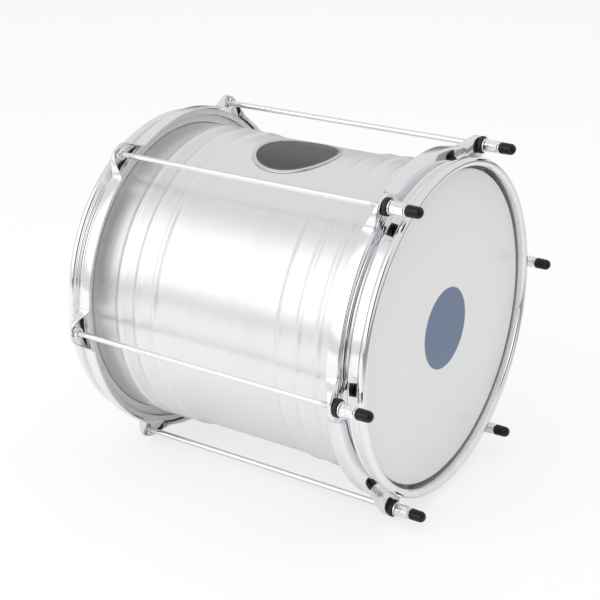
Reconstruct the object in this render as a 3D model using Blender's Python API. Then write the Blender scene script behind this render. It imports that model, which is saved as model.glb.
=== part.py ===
"""Repinique: a small two-headed samba drum with pressed metal hoops, lying on its side.

The drum's own axis runs along Y with the front head at -Y, and it rests on the flats of its hoops at z = 0.
"""

import itertools
import math

import bmesh
import bpy
from mathutils import Vector

# Shell of rolled sheet with three beads at each end, in metres
SHELL_RADIUS = 0.150
SHELL_LENGTH = 0.3175
SHELL_WALL = 0.0012
SHELL_END_RISE = 0.0015
BEAD_COUNT = 3
BEAD_FIRST = 0.0703
BEAD_PITCH = 0.0212
BEAD_HALF_WIDTH = 0.0034
BEAD_RISE = 0.0012
BEARING_EDGE_ROUND = 0.0009

# Heads: a film cup over each bearing edge, with a flange to the ring under the hoop
FILM_THICKNESS = 0.00035
FLANGE_DROP = 0.0004
FLESH_WIDTH = 0.0058
FLESH_HEIGHT = 0.0067
FLESH_CLEARANCE = 0.0009

# Hoops: one pressed sheet from the rolled rim to the edge of the skirt
HOOP_SHEET = 0.002
HOOP_HEIGHT = 0.0345
HOOP_CLEARANCE = 0.0027
HEAD_RECESS = 0.0090
RIM_RADIUS = 0.0042
STEP_DEPTH = 0.0194
STEP_FALL = 0.0026
STEP_FILLET = 0.0016
SKIRT_OVERHANG = 0.0134
SKIRT_ROUND = 0.0026

# Ears: six pockets pressed out of each hoop round the tension rods
LUG_COUNT = 6
ROD_OFFSET = 0.0199
EAR_MARGIN = 0.0080
EAR_HALF_WIDTH = 0.0222
EAR_HANG = 0.0008

# Rods and the hardware on them
ROD_DIAMETER = 0.0055
ROD_HEAD_DIAMETER = 0.0105
ROD_HEAD_THICKNESS = 0.0033
ROD_END_IN_CAP = 0.0100
LOCK_NUT_FLATS = 0.010
LOCK_NUT_THICKNESS = 0.005
CUSHION_DIAMETER = 0.0167
CUSHION_THICKNESS = 0.0042
WASHER_DIAMETER = 0.0136
WASHER_THICKNESS = 0.0014
NUT_FLATS = 0.0111
NUT_LENGTH = 0.0147
NUT_CHAMFER = 0.0008
CAP_DIAMETER = 0.011
CAP_LENGTH = 0.0153
CAP_TIP_WALL = 0.0027

# Badge in the middle of the shell, between the two upper rods
BADGE_RADIUS = 0.0436
BADGE_BORDER = 0.0040
BADGE_THICKNESS = 0.0009
BADGE_RAISED = 0.0004

# Clearances between pieces that touch, and between a rod and what slides along it
GAP = 0.0003
ROD_HOLE_GAP = 0.0005

# Fineness of the round forms
TURNED_SIDES = 32
ROD_SIDES = 10
HEXAGON_POINTS = 12
BADGE_SPOKES = 20
PLAIN_STEPS = 6
EAR_STEPS = (0.39, 0.61, 0.79, 1.0)
WELD = 1e-6

# Where the lugs stand, the side that the drum lies on, and how far its axis stays inside its footing
LUG_ANGLE = math.tau / LUG_COUNT
RESTING_SIDE = math.radians(265.5)
BADGE_ANGLE = LUG_ANGLE * 1.5
FOOT_MARGIN = 0.05

# Radii worked out from the shell outward
SHELL_END_RADIUS = SHELL_RADIUS + SHELL_END_RISE
COLLAR_INNER = SHELL_END_RADIUS + GAP
COLLAR_OUTER = COLLAR_INNER + FILM_THICKNESS
WALL_INNER = COLLAR_OUTER + HOOP_CLEARANCE
WALL_OUTER = WALL_INNER + HOOP_SHEET
SKIRT_RADIUS = WALL_OUTER + SKIRT_OVERHANG
ROD_CIRCLE = WALL_OUTER + ROD_OFFSET
EAR_REACH = ROD_CIRCLE + EAR_MARGIN
ROD_RADIUS = ROD_DIAMETER / 2
BORE_RADIUS = ROD_RADIUS + GAP
BADGE_FIELD_RADIUS = BADGE_RADIUS - BADGE_BORDER

# Distances from the middle of the drum along its axis
SHELL_END = SHELL_LENGTH / 2
FILM_INNER = SHELL_END + GAP
FILM_FACE = FILM_INNER + FILM_THICKNESS
RIM_PLANE = FILM_FACE + HEAD_RECESS
EAR_FACE = RIM_PLANE - STEP_DEPTH
CUSHION_SEAT = EAR_FACE + GAP
WASHER_SEAT = CUSHION_SEAT + CUSHION_THICKNESS + GAP
NUT_SEAT = WASHER_SEAT + WASHER_THICKNESS + GAP
CAP_SEAT = NUT_SEAT + NUT_LENGTH + GAP
CAP_TIP = CAP_SEAT + CAP_LENGTH
ROD_FRONT_END = CAP_SEAT + ROD_END_IN_CAP
LOCK_NUT_SEAT = EAR_FACE - HOOP_SHEET - GAP

EAR_HALF_ANGLE = EAR_HALF_WIDTH / ROD_CIRCLE
PLAIN_STEP_ANGLE = (LUG_ANGLE - 2 * EAR_HALF_ANGLE) / PLAIN_STEPS

# Ring and film flange in the space under the step
STEP_SLOPE = STEP_FALL / SKIRT_OVERHANG
UNDER_STEP = EAR_FACE - HOOP_SHEET - GAP
FLESH_OUTER = (SKIRT_RADIUS - HOOP_SHEET) * math.cos(PLAIN_STEP_ANGLE / 2) - FLESH_CLEARANCE
FLESH_INNER = FLESH_OUTER - FLESH_WIDTH
FLESH_TOP = UNDER_STEP - STEP_SLOPE * (FLESH_INNER - WALL_OUTER)
FLANGE_TOP = FLESH_TOP - FLANGE_DROP


def clear_scene():
    """Removes whatever the open file holds."""
    for old in list(bpy.data.objects):
        bpy.data.objects.remove(old)


def finish_material(name, colour, roughness, metallic):
    """A plain Principled finish."""
    material = bpy.data.materials.new(name)
    material.use_nodes = True
    shader = material.node_tree.nodes["Principled BSDF"]
    shader.inputs["Base Color"].default_value = (*colour, 1.0)
    shader.inputs["Roughness"].default_value = roughness
    shader.inputs["Metallic"].default_value = metallic
    return material


def place(name, mesh, material, parent, location=(0.0, 0.0, 0.0), rotation=(0.0, 0.0, 0.0)):
    """An object of its own for one piece, with a copy of its finish."""
    piece = bpy.data.objects.new(name, mesh)
    bpy.context.scene.collection.objects.link(piece)
    piece.parent = parent
    piece.location = location
    piece.rotation_euler = rotation
    if not mesh.materials:
        mesh.materials.append(material)
    return piece


def mesh_from(bm, name, sharp=35.0):
    """Closes the edit, with faces out and round faces smooth."""
    bmesh.ops.remove_doubles(bm, verts=bm.verts, dist=WELD)
    bmesh.ops.recalc_face_normals(bm, faces=bm.faces)
    mesh = bpy.data.meshes.new(name)
    bm.to_mesh(mesh)
    bm.free()
    mesh.shade_smooth()
    mesh.set_sharp_from_angle(angle=math.radians(sharp))
    return mesh


def turned(name, profile, sides, ring=True):
    """A (radius, y) profile turned round Y: a closed loop for a ring, or a line that starts and ends on the axis."""
    bm = bmesh.new()
    verts = [bm.verts.new((radius, y, 0.0)) for radius, y in profile]
    pairs = list(zip(verts, verts[1:]))
    if ring:
        pairs.append((verts[-1], verts[0]))
    edges = [bm.edges.new(pair) for pair in pairs]
    bmesh.ops.spin(
        bm, geom=verts + edges, cent=(0, 0, 0), axis=(0, 1, 0), angle=math.tau, steps=sides
    )
    return mesh_from(bm, name)


def lofted(name, rings, sharp=35.0):
    """Rings of as many points each, joined one to the next and the last to the first."""
    bm = bmesh.new()
    rows = [[bm.verts.new(point) for point in ring] for ring in rings]
    for row, after in zip(rows, rows[1:] + rows[:1]):
        for i in range(len(row)):
            j = (i + 1) % len(row)
            bm.faces.new((row[i], row[j], after[j], after[i]))
    return mesh_from(bm, name, sharp)


def shell_outline(inset):
    """(radius, distance from the middle) of half the shell's outer face, or of a face inset under it."""
    points = []
    base = SHELL_RADIUS
    for number in range(BEAD_COUNT):
        middle = BEAD_FIRST + number * BEAD_PITCH
        points.append((base - inset, middle - BEAD_HALF_WIDTH))
        points.append((SHELL_END_RADIUS + BEAD_RISE - inset, middle))
        base = SHELL_END_RADIUS
        points.append((base - inset, middle + BEAD_HALF_WIDTH))
    return points


def shell_mesh():
    """Beaded sheet tube, open at both ends, with rounded bearing edges."""
    outer = shell_outline(0.0)
    outer.append((SHELL_END_RADIUS, SHELL_END - BEARING_EDGE_ROUND))
    outer.append((SHELL_END_RADIUS - BEARING_EDGE_ROUND, SHELL_END))
    inner = shell_outline(SHELL_WALL)
    inner.append((SHELL_END_RADIUS - SHELL_WALL, SHELL_END))
    front_outer = [(radius, -distance) for radius, distance in reversed(outer)]
    rear_inner = [(radius, distance) for radius, distance in reversed(inner)]
    front_inner = [(radius, -distance) for radius, distance in inner]
    return turned("shell", front_outer + outer + rear_inner + front_inner, TURNED_SIDES)


def head_mesh():
    """Film cup for the +Y end: a flat face, a collar down the outside of the shell and a flange out to the ring."""
    flange_reach = FLESH_INNER - GAP
    profile = [
        (0.0, FILM_FACE),
        (COLLAR_OUTER - BEARING_EDGE_ROUND, FILM_FACE),
        (COLLAR_OUTER, FILM_FACE - BEARING_EDGE_ROUND),
        (COLLAR_OUTER, FLANGE_TOP),
        (flange_reach, FLANGE_TOP),
        (flange_reach, FLANGE_TOP - FILM_THICKNESS),
        (COLLAR_INNER, FLANGE_TOP - FILM_THICKNESS),
        (COLLAR_INNER, FILM_INNER - BEARING_EDGE_ROUND),
        (COLLAR_INNER - BEARING_EDGE_ROUND, FILM_INNER),
        (0.0, FILM_INNER),
    ]
    return turned("head", profile, TURNED_SIDES, ring=False)


def flesh_hoop_mesh():
    """Ring under the +Y hoop's step, sloped on top to lie along it."""
    outer_top = UNDER_STEP - STEP_SLOPE * (FLESH_OUTER - WALL_OUTER)
    bottom = UNDER_STEP - FLESH_HEIGHT
    profile = [
        (FLESH_INNER, FLESH_TOP),
        (FLESH_OUTER, outer_top),
        (FLESH_OUTER, bottom),
        (FLESH_INNER, bottom),
    ]
    return turned("flesh_hoop", profile, TURNED_SIDES)


def hoop_section(bulge):
    """(radius, depth below the rim) round the pressed sheet, where bulge is 0 in plain skirt and 1 over a rod."""
    flat_top = math.radians(15)
    centre = WALL_INNER + RIM_RADIUS
    centre_depth = RIM_RADIUS * math.cos(flat_top)
    meets_wall = math.acos((WALL_OUTER - centre) / RIM_RADIUS)
    turns = [math.radians(a) for a in (180, 140, 105, 75, 25, -30)] + [-meets_wall]
    rim = [
        (centre + RIM_RADIUS * math.cos(turn), centre_depth - RIM_RADIUS * math.sin(turn))
        for turn in turns
    ]
    reach = SKIRT_RADIUS + bulge * (EAR_REACH - SKIRT_RADIUS)
    corner_depth = STEP_DEPTH + (1.0 - bulge) * STEP_FALL
    slope = (corner_depth - STEP_DEPTH) / (reach - WALL_OUTER)
    ear_edge_depth = STEP_DEPTH + SKIRT_ROUND + EAR_HANG
    edge_depth = HOOP_HEIGHT + bulge * (ear_edge_depth - HOOP_HEIGHT)
    outside = [
        (WALL_OUTER, STEP_DEPTH - STEP_FILLET),
        (WALL_OUTER + STEP_FILLET, STEP_DEPTH + slope * STEP_FILLET),
        (reach - SKIRT_ROUND, corner_depth - slope * SKIRT_ROUND),
        (reach - 0.29 * SKIRT_ROUND, corner_depth + 0.29 * SKIRT_ROUND),
        (reach, corner_depth + SKIRT_ROUND),
        (reach, edge_depth),
    ]
    inner_round = max(SKIRT_ROUND - HOOP_SHEET, HOOP_SHEET / 4)
    inner_reach = reach - HOOP_SHEET
    inner_corner = corner_depth + HOOP_SHEET
    inside = [
        (inner_reach, edge_depth),
        (inner_reach, inner_corner + inner_round),
        (inner_reach - inner_round, inner_corner - slope * (HOOP_SHEET + inner_round)),
        (WALL_INNER + HOOP_SHEET, STEP_DEPTH + HOOP_SHEET),
        (WALL_INNER, STEP_DEPTH - STEP_FILLET),
    ]
    return rim + outside + inside


def bulge_at(angle):
    """How far the skirt is pressed out at an angle from the nearest rod: 1 over it, falling to 0 at the ear's root."""
    share = min(abs(angle) / EAR_HALF_ANGLE, 1.0)
    return 0.5 * (1.0 + math.cos(math.pi * share * share))


def hoop_stations():
    """(angle round the drum, bulge there), closer together over the ears than between them."""
    stations = []
    for lug in range(LUG_COUNT):
        middle = lug * LUG_ANGLE
        sides = [-share for share in reversed(EAR_STEPS)] + [0.0] + list(EAR_STEPS)
        stations += [(middle + s * EAR_HALF_ANGLE, bulge_at(s * EAR_HALF_ANGLE)) for s in sides]
        root = middle + EAR_HALF_ANGLE
        stations += [(root + PLAIN_STEP_ANGLE * step, 0.0) for step in range(1, PLAIN_STEPS)]
    return stations


def hoop_mesh():
    """The pressed hoop of the front end: one section carried round the drum, swelling at each ear."""
    rings = []
    for angle, bulge in hoop_stations():
        rings.append(
            [
                (radius * math.cos(angle), depth - RIM_PLANE, radius * math.sin(angle))
                for radius, depth in hoop_section(bulge)
            ]
        )
    return lofted("hoop", rings, sharp=50.0)


def rod_hole_cutter(drum):
    """One long pin through every ear, wider than the rods by their clearance."""
    bm = bmesh.new()
    for lug in range(LUG_COUNT):
        made = bmesh.ops.create_cone(
            bm,
            cap_ends=True,
            segments=ROD_SIDES,
            radius1=ROD_RADIUS + ROD_HOLE_GAP,
            radius2=ROD_RADIUS + ROD_HOLE_GAP,
            depth=2 * RIM_PLANE,
        )
        for vert in made["verts"]:
            x, y, z = vert.co
            vert.co = Vector((x, z, -y)) + lug_point(lug, 0.0)
    cutter = place("rod_hole_cutter", mesh_from(bm, "rod_hole_cutter"), None, drum)
    cutter.hide_render = True
    cutter.display_type = "WIRE"
    return cutter


def drill(hoop, cutter):
    """Opens the rod holes in a hoop's ears."""
    holes = hoop.modifiers.new("rod_holes", "BOOLEAN")
    holes.operation = "DIFFERENCE"
    holes.solver = "EXACT"
    holes.object = cutter


def lug_point(lug, y):
    """Centre of a rod in the drum's own frame."""
    angle = lug * LUG_ANGLE
    return Vector((ROD_CIRCLE * math.cos(angle), y, ROD_CIRCLE * math.sin(angle)))


def rod_mesh():
    """Round rod with a low button head behind the rear hoop and a chamfered end at the front."""
    chamfer = ROD_RADIUS / 4
    seat = EAR_FACE + GAP
    head = ROD_HEAD_DIAMETER / 2
    crown = seat + ROD_HEAD_THICKNESS
    profile = [
        (0.0, -ROD_FRONT_END),
        (ROD_RADIUS - chamfer, -ROD_FRONT_END),
        (ROD_RADIUS, -ROD_FRONT_END + chamfer),
        (ROD_RADIUS, seat),
        (head, seat),
        (head, seat + ROD_HEAD_THICKNESS / 3),
        (head * 0.6, crown),
        (0.0, crown),
    ]
    return turned("tension_rod", profile, ROD_SIDES, ring=False)


def hexagon_ring(across_flats, y):
    """Twelve points of a hexagon round Y: each corner and the middle of each flat."""
    points = []
    for step in range(HEXAGON_POINTS):
        angle = math.tau * step / HEXAGON_POINTS
        off_flat = (angle + math.radians(30)) % math.radians(60) - math.radians(30)
        radius = across_flats / 2 / math.cos(off_flat)
        points.append((radius * math.cos(angle), y, radius * math.sin(angle)))
    return points


def circle_ring(radius, y):
    """A round ring of points that lines up with a hexagon's."""
    turns = [math.tau * step / HEXAGON_POINTS for step in range(HEXAGON_POINTS)]
    return [(radius * math.cos(turn), y, radius * math.sin(turn)) for turn in turns]


def nut_mesh(name, across_flats, length, chamfer=0.0):
    """Hexagon nut round Y from y = 0 to its length, bored for the rod, with a round face at each end if chamfered."""
    face = across_flats / 2 - chamfer / 4
    rings = [hexagon_ring(across_flats, chamfer), hexagon_ring(across_flats, length - chamfer)]
    if chamfer:
        rings.insert(0, circle_ring(face, 0.0))
        rings.append(circle_ring(face, length))
    rings += [circle_ring(BORE_RADIUS, length), circle_ring(BORE_RADIUS, 0.0)]
    return lofted(name, rings, sharp=25.0)


def washer_mesh(name, diameter, thickness):
    """Flat ring round Y from y = 0 to its thickness."""
    outer = diameter / 2
    profile = [(BORE_RADIUS, 0.0), (outer, 0.0), (outer, thickness), (BORE_RADIUS, thickness)]
    return turned(name, profile, ROD_SIDES)


def cap_mesh():
    """Moulded cap for the rod's end: a tube from y = 0 down to a round tip, blind inside."""
    outer = CAP_DIAMETER / 2
    shoulder = CAP_LENGTH - outer
    bore_end = CAP_LENGTH - CAP_TIP_WALL
    dome = [math.radians(a) for a in (0, 35, 65)]
    profile = [(0.0, -CAP_LENGTH)]
    profile += [(outer * math.cos(a), -shoulder - outer * math.sin(a)) for a in reversed(dome)]
    profile += [(outer, 0.0), (BORE_RADIUS, 0.0), (BORE_RADIUS, -bore_end), (0.0, -bore_end)]
    return turned("rod_cap", profile, ROD_SIDES, ring=False)


def on_shell(along, around, height):
    """A point above the shell, from a distance along the drum and one round it from the badge's middle."""
    angle = BADGE_ANGLE + around / SHELL_RADIUS
    radius = SHELL_RADIUS + height
    return (radius * math.cos(angle), along, radius * math.sin(angle))


def badge_mesh():
    """Round plate bent to the shell, with a raised border round its field."""
    bm = bmesh.new()
    top = GAP + BADGE_THICKNESS
    field = [BADGE_FIELD_RADIUS * share for share in (1 / 3, 2 / 3, 1.0)]
    upper = [(radius, top - BADGE_RAISED) for radius in field]
    upper += [(BADGE_FIELD_RADIUS + BADGE_RAISED, top), (BADGE_RADIUS, top)]
    lower = [(BADGE_RADIUS, GAP)] + [(radius, GAP) for radius in reversed(field[:2])]
    rows = []
    for radius, height in upper + lower:
        row = []
        for step in range(BADGE_SPOKES):
            turn = math.tau * step / BADGE_SPOKES
            point = on_shell(radius * math.cos(turn), radius * math.sin(turn), height)
            row.append(bm.verts.new(point))
        rows.append(row)
    for row, after in zip(rows, rows[1:]):
        for i in range(BADGE_SPOKES):
            j = (i + 1) % BADGE_SPOKES
            bm.faces.new((row[i], row[j], after[j], after[i]))
    for row, height in ((rows[0], top - BADGE_RAISED), (rows[-1], GAP)):
        centre = bm.verts.new(on_shell(0.0, 0.0, height))
        for i in range(BADGE_SPOKES):
            bm.faces.new((row[i], row[(i + 1) % BADGE_SPOKES], centre))
    return mesh_from(bm, "badge")


def resting_pose(outline):
    """(direction that faces the ground, height of the axis) with the outline on two corners either side of the axis."""
    wanted = Vector((math.cos(RESTING_SIDE), math.sin(RESTING_SIDE)))
    found = []
    for first, second in itertools.combinations(outline, 2):
        edge = second - first
        down = Vector((edge.y, -edge.x)).normalized()
        if down.dot(first) < 0.0:
            down.negate()
        height = down.dot(first)
        foot = -first.dot(edge) / edge.length_squared
        stands = FOOT_MARGIN < foot < 1.0 - FOOT_MARGIN
        if stands and max(down.dot(point) for point in outline) <= height + WELD:
            found.append((-down.dot(wanted), math.atan2(down.y, down.x), height))
    return min(found)[1:]


def drum_frame():
    """Empty on the drum's axis, turned and lifted so that the drum lies on the ground with its middle over the origin."""
    outline = []
    for angle, bulge in hoop_stations():
        reach = max(radius for radius, depth in hoop_section(bulge))
        outline.append(Vector((reach * math.cos(angle), reach * math.sin(angle))))
    down, height = resting_pose(outline)
    drum = bpy.data.objects.new("drum_axis", None)
    bpy.context.scene.collection.objects.link(drum)
    drum.location = (0.0, (CAP_TIP - RIM_PLANE) / 2, height)
    drum.rotation_euler = (0.0, down + math.pi / 2, 0.0)
    return drum


def build_shell_and_badge(drum):
    aluminium = finish_material("brushed_aluminium", (0.78, 0.78, 0.76), 0.35, 1.0)
    badge = finish_material("badge_enamel", (0.16, 0.16, 0.15), 0.35, 0.3)
    place("shell", shell_mesh(), aluminium, drum)
    place("badge", badge_mesh(), badge, drum)


def build_heads_and_hoops(drum):
    film = finish_material("head_film", (0.82, 0.82, 0.80), 0.45, 0.0)
    ring = finish_material("flesh_hoop_metal", (0.62, 0.62, 0.60), 0.4, 1.0)
    chrome = finish_material("hoop_chrome", (0.86, 0.87, 0.88), 0.08, 1.0)
    head = head_mesh()
    flesh = flesh_hoop_mesh()
    hoop = hoop_mesh()
    cutter = rod_hole_cutter(drum)
    for end, turn in (("front", math.pi), ("rear", 0.0)):
        place(f"{end}_head", head, film, drum, rotation=(turn, 0.0, 0.0))
        place(f"{end}_flesh_hoop", flesh, ring, drum, rotation=(turn, 0.0, 0.0))
        pressed = place(f"{end}_hoop", hoop, chrome, drum, rotation=(math.pi - turn, 0.0, 0.0))
        drill(pressed, cutter)


def build_rods(drum):
    steel = finish_material("rod_steel", (0.80, 0.81, 0.82), 0.15, 1.0)
    zinc = finish_material("nut_steel", (0.82, 0.82, 0.80), 0.2, 1.0)
    rubber = finish_material("black_rubber", (0.015, 0.015, 0.015), 0.5, 0.0)
    vinyl = finish_material("black_vinyl", (0.02, 0.02, 0.02), 0.3, 0.0)
    pieces = (
        ("tension_rod", rod_mesh(), steel, 0.0),
        ("lock_nut", nut_mesh("lock_nut", LOCK_NUT_FLATS, LOCK_NUT_THICKNESS), zinc,
         LOCK_NUT_SEAT - LOCK_NUT_THICKNESS),
        ("cushion_washer", washer_mesh("cushion_washer", CUSHION_DIAMETER, CUSHION_THICKNESS), rubber,
         -CUSHION_SEAT - CUSHION_THICKNESS),
        ("flat_washer", washer_mesh("flat_washer", WASHER_DIAMETER, WASHER_THICKNESS), zinc,
         -WASHER_SEAT - WASHER_THICKNESS),
        ("tension_nut", nut_mesh("tension_nut", NUT_FLATS, NUT_LENGTH, NUT_CHAMFER), zinc,
         -NUT_SEAT - NUT_LENGTH),
        ("rod_cap", cap_mesh(), vinyl, -CAP_SEAT),
    )
    for lug in range(LUG_COUNT):
        for name, mesh, material, y in pieces:
            turn = (0.0, -lug * LUG_ANGLE, 0.0)
            place(f"{name}_{lug + 1}", mesh, material, drum, lug_point(lug, y), turn)


def main():
    clear_scene()
    drum = drum_frame()
    build_shell_and_badge(drum)
    build_heads_and_hoops(drum)
    build_rods(drum)


main()
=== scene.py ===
"""Looks of a repinique lying on its side.

Pressed chrome hoops, a beaded shell, milky heads and bright hardware. Lengths are in metres.
"""

import math

import bmesh
import bpy
from bpy.props import FloatProperty, FloatVectorProperty, IntProperty, PointerProperty
from mathutils import Matrix, Vector


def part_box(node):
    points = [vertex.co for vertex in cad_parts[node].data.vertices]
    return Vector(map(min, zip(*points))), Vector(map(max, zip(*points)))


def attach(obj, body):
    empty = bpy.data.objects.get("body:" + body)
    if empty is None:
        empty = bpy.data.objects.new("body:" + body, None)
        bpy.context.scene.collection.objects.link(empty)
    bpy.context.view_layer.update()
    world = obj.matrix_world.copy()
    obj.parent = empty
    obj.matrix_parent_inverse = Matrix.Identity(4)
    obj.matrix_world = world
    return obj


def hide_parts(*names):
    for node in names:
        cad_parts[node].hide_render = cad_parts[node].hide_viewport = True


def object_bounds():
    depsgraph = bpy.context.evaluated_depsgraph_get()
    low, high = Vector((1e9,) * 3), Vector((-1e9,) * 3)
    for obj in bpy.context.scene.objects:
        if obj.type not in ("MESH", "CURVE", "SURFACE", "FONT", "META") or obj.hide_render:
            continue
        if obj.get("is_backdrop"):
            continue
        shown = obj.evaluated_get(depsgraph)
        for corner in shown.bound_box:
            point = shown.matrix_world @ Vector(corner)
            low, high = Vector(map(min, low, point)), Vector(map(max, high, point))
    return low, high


bl_info = {
    "name": "Repinique",
    "version": (1, 0, 0),
    "blender": (4, 5, 0),
    "location": "3D View > Sidebar > Drum",
    "description": "Builds the fine surfaces and finishes of a repinique round its construction model",
    "category": "Object",
}

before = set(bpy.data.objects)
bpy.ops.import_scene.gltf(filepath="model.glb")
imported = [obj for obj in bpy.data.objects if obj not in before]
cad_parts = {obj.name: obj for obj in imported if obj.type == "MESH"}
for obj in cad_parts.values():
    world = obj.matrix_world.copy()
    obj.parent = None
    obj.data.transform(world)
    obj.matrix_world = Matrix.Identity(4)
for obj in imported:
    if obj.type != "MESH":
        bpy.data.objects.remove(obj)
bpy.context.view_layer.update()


def middle(node):
    """Centre of a construction node's box."""
    low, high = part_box(node)
    return (low + high) / 2


def across(first, second):
    """Distance between the outermost faces of two nodes along the drum."""
    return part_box(second)[1].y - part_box(first)[0].y


# Where the drum stands in the frame: its axis through the middle of the rods, lug 1 on its own +X
LUGS = 6
LUG_ANGLE = math.tau / LUGS
ROD_MIDDLES = [middle(f"tension_rod_{lug + 1}") for lug in range(LUGS)]
AXIS_POINT = sum(ROD_MIDDLES, Vector()) / LUGS
AXIS_POINT.y = (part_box("front_head")[0].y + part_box("rear_head")[1].y) / 2
TO_LUG = ROD_MIDDLES[0] - AXIS_POINT
TO_LUG.y = 0.0
ROD_CIRCLE = TO_LUG.length
LUG_TURN = math.atan2(TO_LUG.z, TO_LUG.x)
DRUM = Matrix.Translation(AXIS_POINT) @ Matrix.Rotation(-LUG_TURN, 4, "Y")

# Clear gap left where two pieces touch
SEAT_GAP = 0.0003

# Distances from the drum's middle along its axis, and radii that the frame gives
FILM_FACE = across("front_head", "rear_head") / 2
RIM_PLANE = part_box("rear_hoop")[1].y - AXIS_POINT.y
SKIRT_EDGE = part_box("rear_hoop")[0].y - AXIS_POINT.y
SHELL_END = across("shell", "shell") / 2
SKIRT_RADIUS = AXIS_POINT.z
EAR_REACH = (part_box("rear_hoop")[1].x - AXIS_POINT.x) * ROD_CIRCLE / TO_LUG.x
EAR_FACE = AXIS_POINT.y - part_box("cushion_washer_1")[1].y - SEAT_GAP
FILM_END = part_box("rear_head")[0].y - AXIS_POINT.y
RING_OUTER = (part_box("rear_flesh_hoop")[1].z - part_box("rear_flesh_hoop")[0].z) / 2
RING_INNER = (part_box("rear_head")[1].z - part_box("rear_head")[0].z) / 2 + SEAT_GAP

# How far a hoop's step falls per metre outward. The ring under it follows the same slope.
STEP_SLOPE = 0.194


def reach_of(node):
    """(nearest, farthest) distance of a front node from the drum's middle."""
    low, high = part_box(node)
    return AXIS_POINT.y - high.y, AXIS_POINT.y - low.y


class DrumShell(bpy.types.PropertyGroup):
    radius: FloatProperty(
        name="Radius", description="Outer radius of the plain middle", default=0.150, unit="LENGTH"
    )
    wall: FloatProperty(name="Wall", description="Thickness of the sheet", default=0.0012, unit="LENGTH")
    end_rise: FloatProperty(
        name="End rise", description="How much wider the shell is past its first bead",
        default=0.0015, unit="LENGTH"
    )
    bead_first: FloatProperty(
        name="First bead", description="Distance of the first bead from the middle",
        default=0.0703, unit="LENGTH"
    )
    bead_pitch: FloatProperty(
        name="Bead pitch", description="Distance from bead to bead", default=0.0212, unit="LENGTH"
    )
    bead_width: FloatProperty(
        name="Bead width", description="Half the width of a bead", default=0.0048, unit="LENGTH"
    )
    bead_rise: FloatProperty(
        name="Bead rise", description="Height of a bead", default=0.0012, unit="LENGTH"
    )
    beads: IntProperty(name="Beads", description="Beads at each end", default=3, min=0)
    colour: FloatVectorProperty(
        name="Colour", description="Brushed aluminium", subtype="COLOR", default=(0.91, 0.91, 0.905)
    )


class DrumHoops(bpy.types.PropertyGroup):
    sheet: FloatProperty(
        name="Sheet", description="Thickness of the pressed sheet", default=0.002, unit="LENGTH"
    )
    wall_inner: FloatProperty(
        name="Wall radius", description="Inner radius of the wall round the head",
        default=0.15515, unit="LENGTH"
    )
    rim_radius: FloatProperty(
        name="Rim", description="Radius of the rolled rim", default=0.0042, unit="LENGTH"
    )
    step_depth: FloatProperty(
        name="Step", description="Depth of the step below the rim", default=0.0194, unit="LENGTH"
    )
    step_fall: FloatProperty(
        name="Step fall", description="How far the step falls to the skirt",
        default=0.0026, unit="LENGTH"
    )
    skirt_round: FloatProperty(
        name="Skirt round", description="Radius of the skirt's outer corner",
        default=0.0026, unit="LENGTH"
    )
    ear_width: FloatProperty(
        name="Ear width", description="Half the width of an ear at its root",
        default=0.0245, unit="LENGTH"
    )
    ear_hang: FloatProperty(
        name="Ear hang", description="How far an ear's edge hangs below its round",
        default=0.0008, unit="LENGTH"
    )
    colour: FloatVectorProperty(
        name="Colour", description="Chrome plate", subtype="COLOR", default=(0.87, 0.872, 0.885)
    )


class DrumHeads(bpy.types.PropertyGroup):
    flange_gap: FloatProperty(
        name="Flange gap", description="Between the film's flange and the ring round it",
        default=0.0003, unit="LENGTH"
    )
    film: FloatProperty(name="Film", description="Thickness of the film", default=0.00035, unit="LENGTH")
    edge_round: FloatProperty(
        name="Edge round", description="Radius of the film over the bearing edge",
        default=0.0014, unit="LENGTH"
    )
    colour: FloatVectorProperty(
        name="Film colour", description="Milky film", subtype="COLOR", default=(0.770, 0.780, 0.770)
    )
    disc_radius: FloatProperty(
        name="Disc", description="Radius of the plain printed disc", default=0.040, unit="LENGTH"
    )
    disc_colour: FloatVectorProperty(
        name="Disc colour", description="Blue ink", subtype="COLOR", default=(0.112, 0.160, 0.270)
    )


class DrumHardware(bpy.types.PropertyGroup):
    rod_diameter: FloatProperty(
        name="Rod", description="Diameter of a rod", default=0.0055, unit="LENGTH"
    )
    head_diameter: FloatProperty(
        name="Rod head", description="Diameter of its head", default=0.0105, unit="LENGTH"
    )
    thread_pitch: FloatProperty(
        name="Pitch", description="Pitch of the thread", default=0.001, unit="LENGTH"
    )
    nut_flats: FloatProperty(
        name="Nut", description="Tension nut across flats", default=0.0111, unit="LENGTH"
    )
    lock_flats: FloatProperty(
        name="Lock nut", description="Lock nut across flats", default=0.010, unit="LENGTH"
    )
    cushion_diameter: FloatProperty(
        name="Cushion", description="Diameter of the cushion washer", default=0.0167, unit="LENGTH"
    )
    washer_diameter: FloatProperty(
        name="Washer", description="Diameter of the flat washer", default=0.0136, unit="LENGTH"
    )
    cap_diameter: FloatProperty(
        name="Cap", description="Diameter of a rod's cap", default=0.011, unit="LENGTH"
    )
    steel: FloatVectorProperty(
        name="Steel", description="Plated steel", subtype="COLOR", default=(0.87, 0.875, 0.875)
    )
    black: FloatVectorProperty(
        name="Black", description="Vinyl caps", subtype="COLOR", default=(0.003, 0.003, 0.0035)
    )


class DrumBadge(bpy.types.PropertyGroup):
    radius: FloatProperty(
        name="Radius", description="Outer radius of the badge", default=0.0436, unit="LENGTH"
    )
    border: FloatProperty(
        name="Border", description="Width of the bare border", default=0.004, unit="LENGTH"
    )
    field: FloatVectorProperty(
        name="Field", description="Dark enamel", subtype="COLOR", default=(0.030, 0.030, 0.027)
    )
    metal: FloatVectorProperty(
        name="Metal", description="Bare border", subtype="COLOR", default=(0.70, 0.70, 0.68)
    )


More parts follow.
